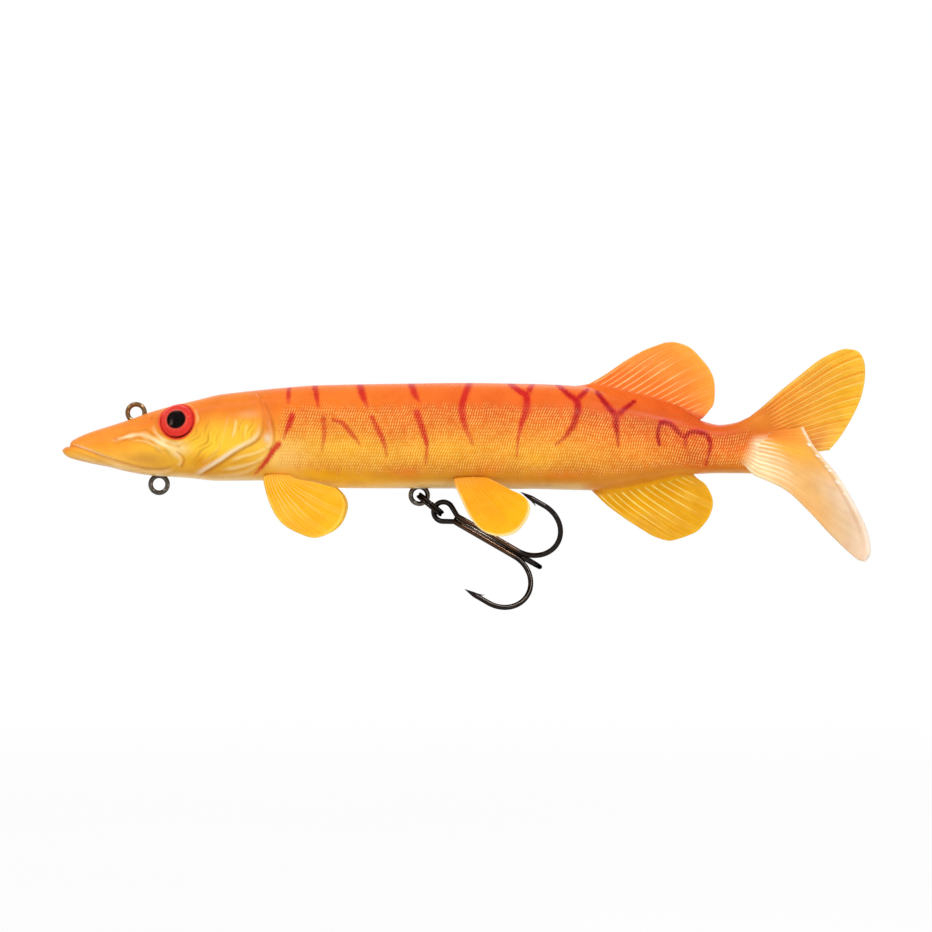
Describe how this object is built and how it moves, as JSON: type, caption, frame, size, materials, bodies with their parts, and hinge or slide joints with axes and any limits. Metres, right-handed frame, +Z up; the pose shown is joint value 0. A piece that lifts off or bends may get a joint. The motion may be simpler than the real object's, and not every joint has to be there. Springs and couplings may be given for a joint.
{
  "type": "swimbait fishing lure",
  "caption": "Soft pike-shaped swimbait: flexing body with fins, domed eyes, wire harness with line tie, ballast, split ring and treble hook.",
  "frame": {"origin": "centre of the line tie, the wire ring on top of the snout", "axes": "+X from nose to tail, +Z up through the back, left flank towards -Y"},
  "size_m": [0.2002, 0.0341, 0.0673],
  "materials": {
    "soft_skin": "soft semi-gloss thermoplastic elastomer, orange to gold with red bars",
    "orange_fin": "soft translucent elastomer, orange",
    "yellow_fin": "soft translucent elastomer, yellow",
    "amber_tail": "soft translucent elastomer, amber to yellow",
    "clear_lens": "clear cast resin dome",
    "red_iris": "red print with a black pupil",
    "steel_wire": "drawn stainless wire",
    "crimp_sleeve": "plated crimp sleeve",
    "cast_lead": "dull cast metal",
    "black_nickel": "black nickel plate"
  },
  "bodies": {
    "front_section": {"front_body": "soft_skin", "eye_lens_left": "clear_lens", "eye_lens_right": "clear_lens", "eye_iris_left": "red_iris", "eye_iris_right": "red_iris", "head_wire": "steel_wire", "belly_wire": "steel_wire", "harness_crimp": "crimp_sleeve", "ballast_weight": "cast_lead"},
    "rear_section": {"waist_flex": "soft_skin", "rear_body": "soft_skin"},
    "tail_section": {"wrist_flex": "soft_skin", "tail_root": "soft_skin"},
    "tail_blade": {"tail_fin_upper": "amber_tail", "tail_fin_lower": "amber_tail"},
    "dorsal": {"dorsal_fin": "orange_fin"},
    "anal": {"anal_fin": "yellow_fin"},
    "left_pectoral": {"pectoral_fin_left": "yellow_fin"},
    "right_pectoral": {"pectoral_fin_right": "yellow_fin"},
    "left_pelvic": {"pelvic_fin_left": "yellow_fin"},
    "right_pelvic": {"pelvic_fin_right": "yellow_fin"},
    "ring": {"split_ring": "black_nickel"},
    "treble": {"treble_double_hook": "black_nickel", "treble_single_hook": "black_nickel"}
  },
  "joints": [
    {"name": "waist_bend", "type": "hinge", "parent": "front_section", "child": "rear_section", "pos_m": [0.101, 0, 0], "axis": [0, 0, 1], "range_deg": [-25, 25], "stiffness_Nm_per_rad": 0.1, "deforming": ["waist_flex"]},
    {"name": "wrist_bend", "type": "hinge", "parent": "rear_section", "child": "tail_section", "pos_m": [0.145, 0, 0], "axis": [0, 0, 1], "range_deg": [-30, 30], "stiffness_Nm_per_rad": 0.012, "deforming": ["wrist_flex"]},
    {"name": "tail_fin_bend", "type": "hinge", "parent": "tail_section", "child": "tail_blade", "pos_m": [0.1563, 0, 0], "axis": [0, 0, 1], "range_deg": [-25, 25], "stiffness_Nm_per_rad": 0.001},
    {"name": "dorsal_lean", "type": "hinge", "parent": "rear_section", "child": "dorsal", "pos_m": [0.1105, 0, 0.00655], "axis": [0.9559, 0, -0.2938], "range_deg": [-20, 20], "stiffness_Nm_per_rad": 0.001},
    {"name": "anal_lean", "type": "hinge", "parent": "rear_section", "child": "anal", "pos_m": [0.1142, 0, -0.01913], "axis": [0.9871, 0, 0.1604], "range_deg": [-20, 20], "stiffness_Nm_per_rad": 0.001},
    {"name": "left_pectoral_flap", "type": "hinge", "parent": "front_section", "child": "left_pectoral", "pos_m": [0.0319, -0.00722, -0.016], "axis": [-1, 0, 0], "range_deg": [-10, 40], "stiffness_Nm_per_rad": 0.0006},
    {"name": "right_pectoral_flap", "type": "hinge", "parent": "front_section", "child": "right_pectoral", "pos_m": [0.0319, 0.00722, -0.016], "axis": [1, 0, 0], "range_deg": [-10, 40], "stiffness_Nm_per_rad": 0.0006},
    {"name": "left_pelvic_flap", "type": "hinge", "parent": "front_section", "child": "left_pelvic", "pos_m": [0.0788, -0.00841, -0.0164], "axis": [-1, 0, 0], "range_deg": [-8, 40], "stiffness_Nm_per_rad": 0.0006},
    {"name": "right_pelvic_flap", "type": "hinge", "parent": "front_section", "child": "right_pelvic", "pos_m": [0.0788, 0.00841, -0.0164], "axis": [1, 0, 0], "range_deg": [-8, 40], "stiffness_Nm_per_rad": 0.0006},
    {"name": "split_ring_swing", "type": "hinge", "parent": "front_section", "child": "ring", "pos_m": [0.0702, 0, -0.02047], "axis": [0, 1, 0], "range_deg": [-4, 45]},
    {"name": "treble_swing", "type": "hinge", "parent": "ring", "child": "treble", "pos_m": [0.07619, 0, -0.02452], "axis": [0, 1, 0], "range_deg": [-5, 45]}
  ]
}
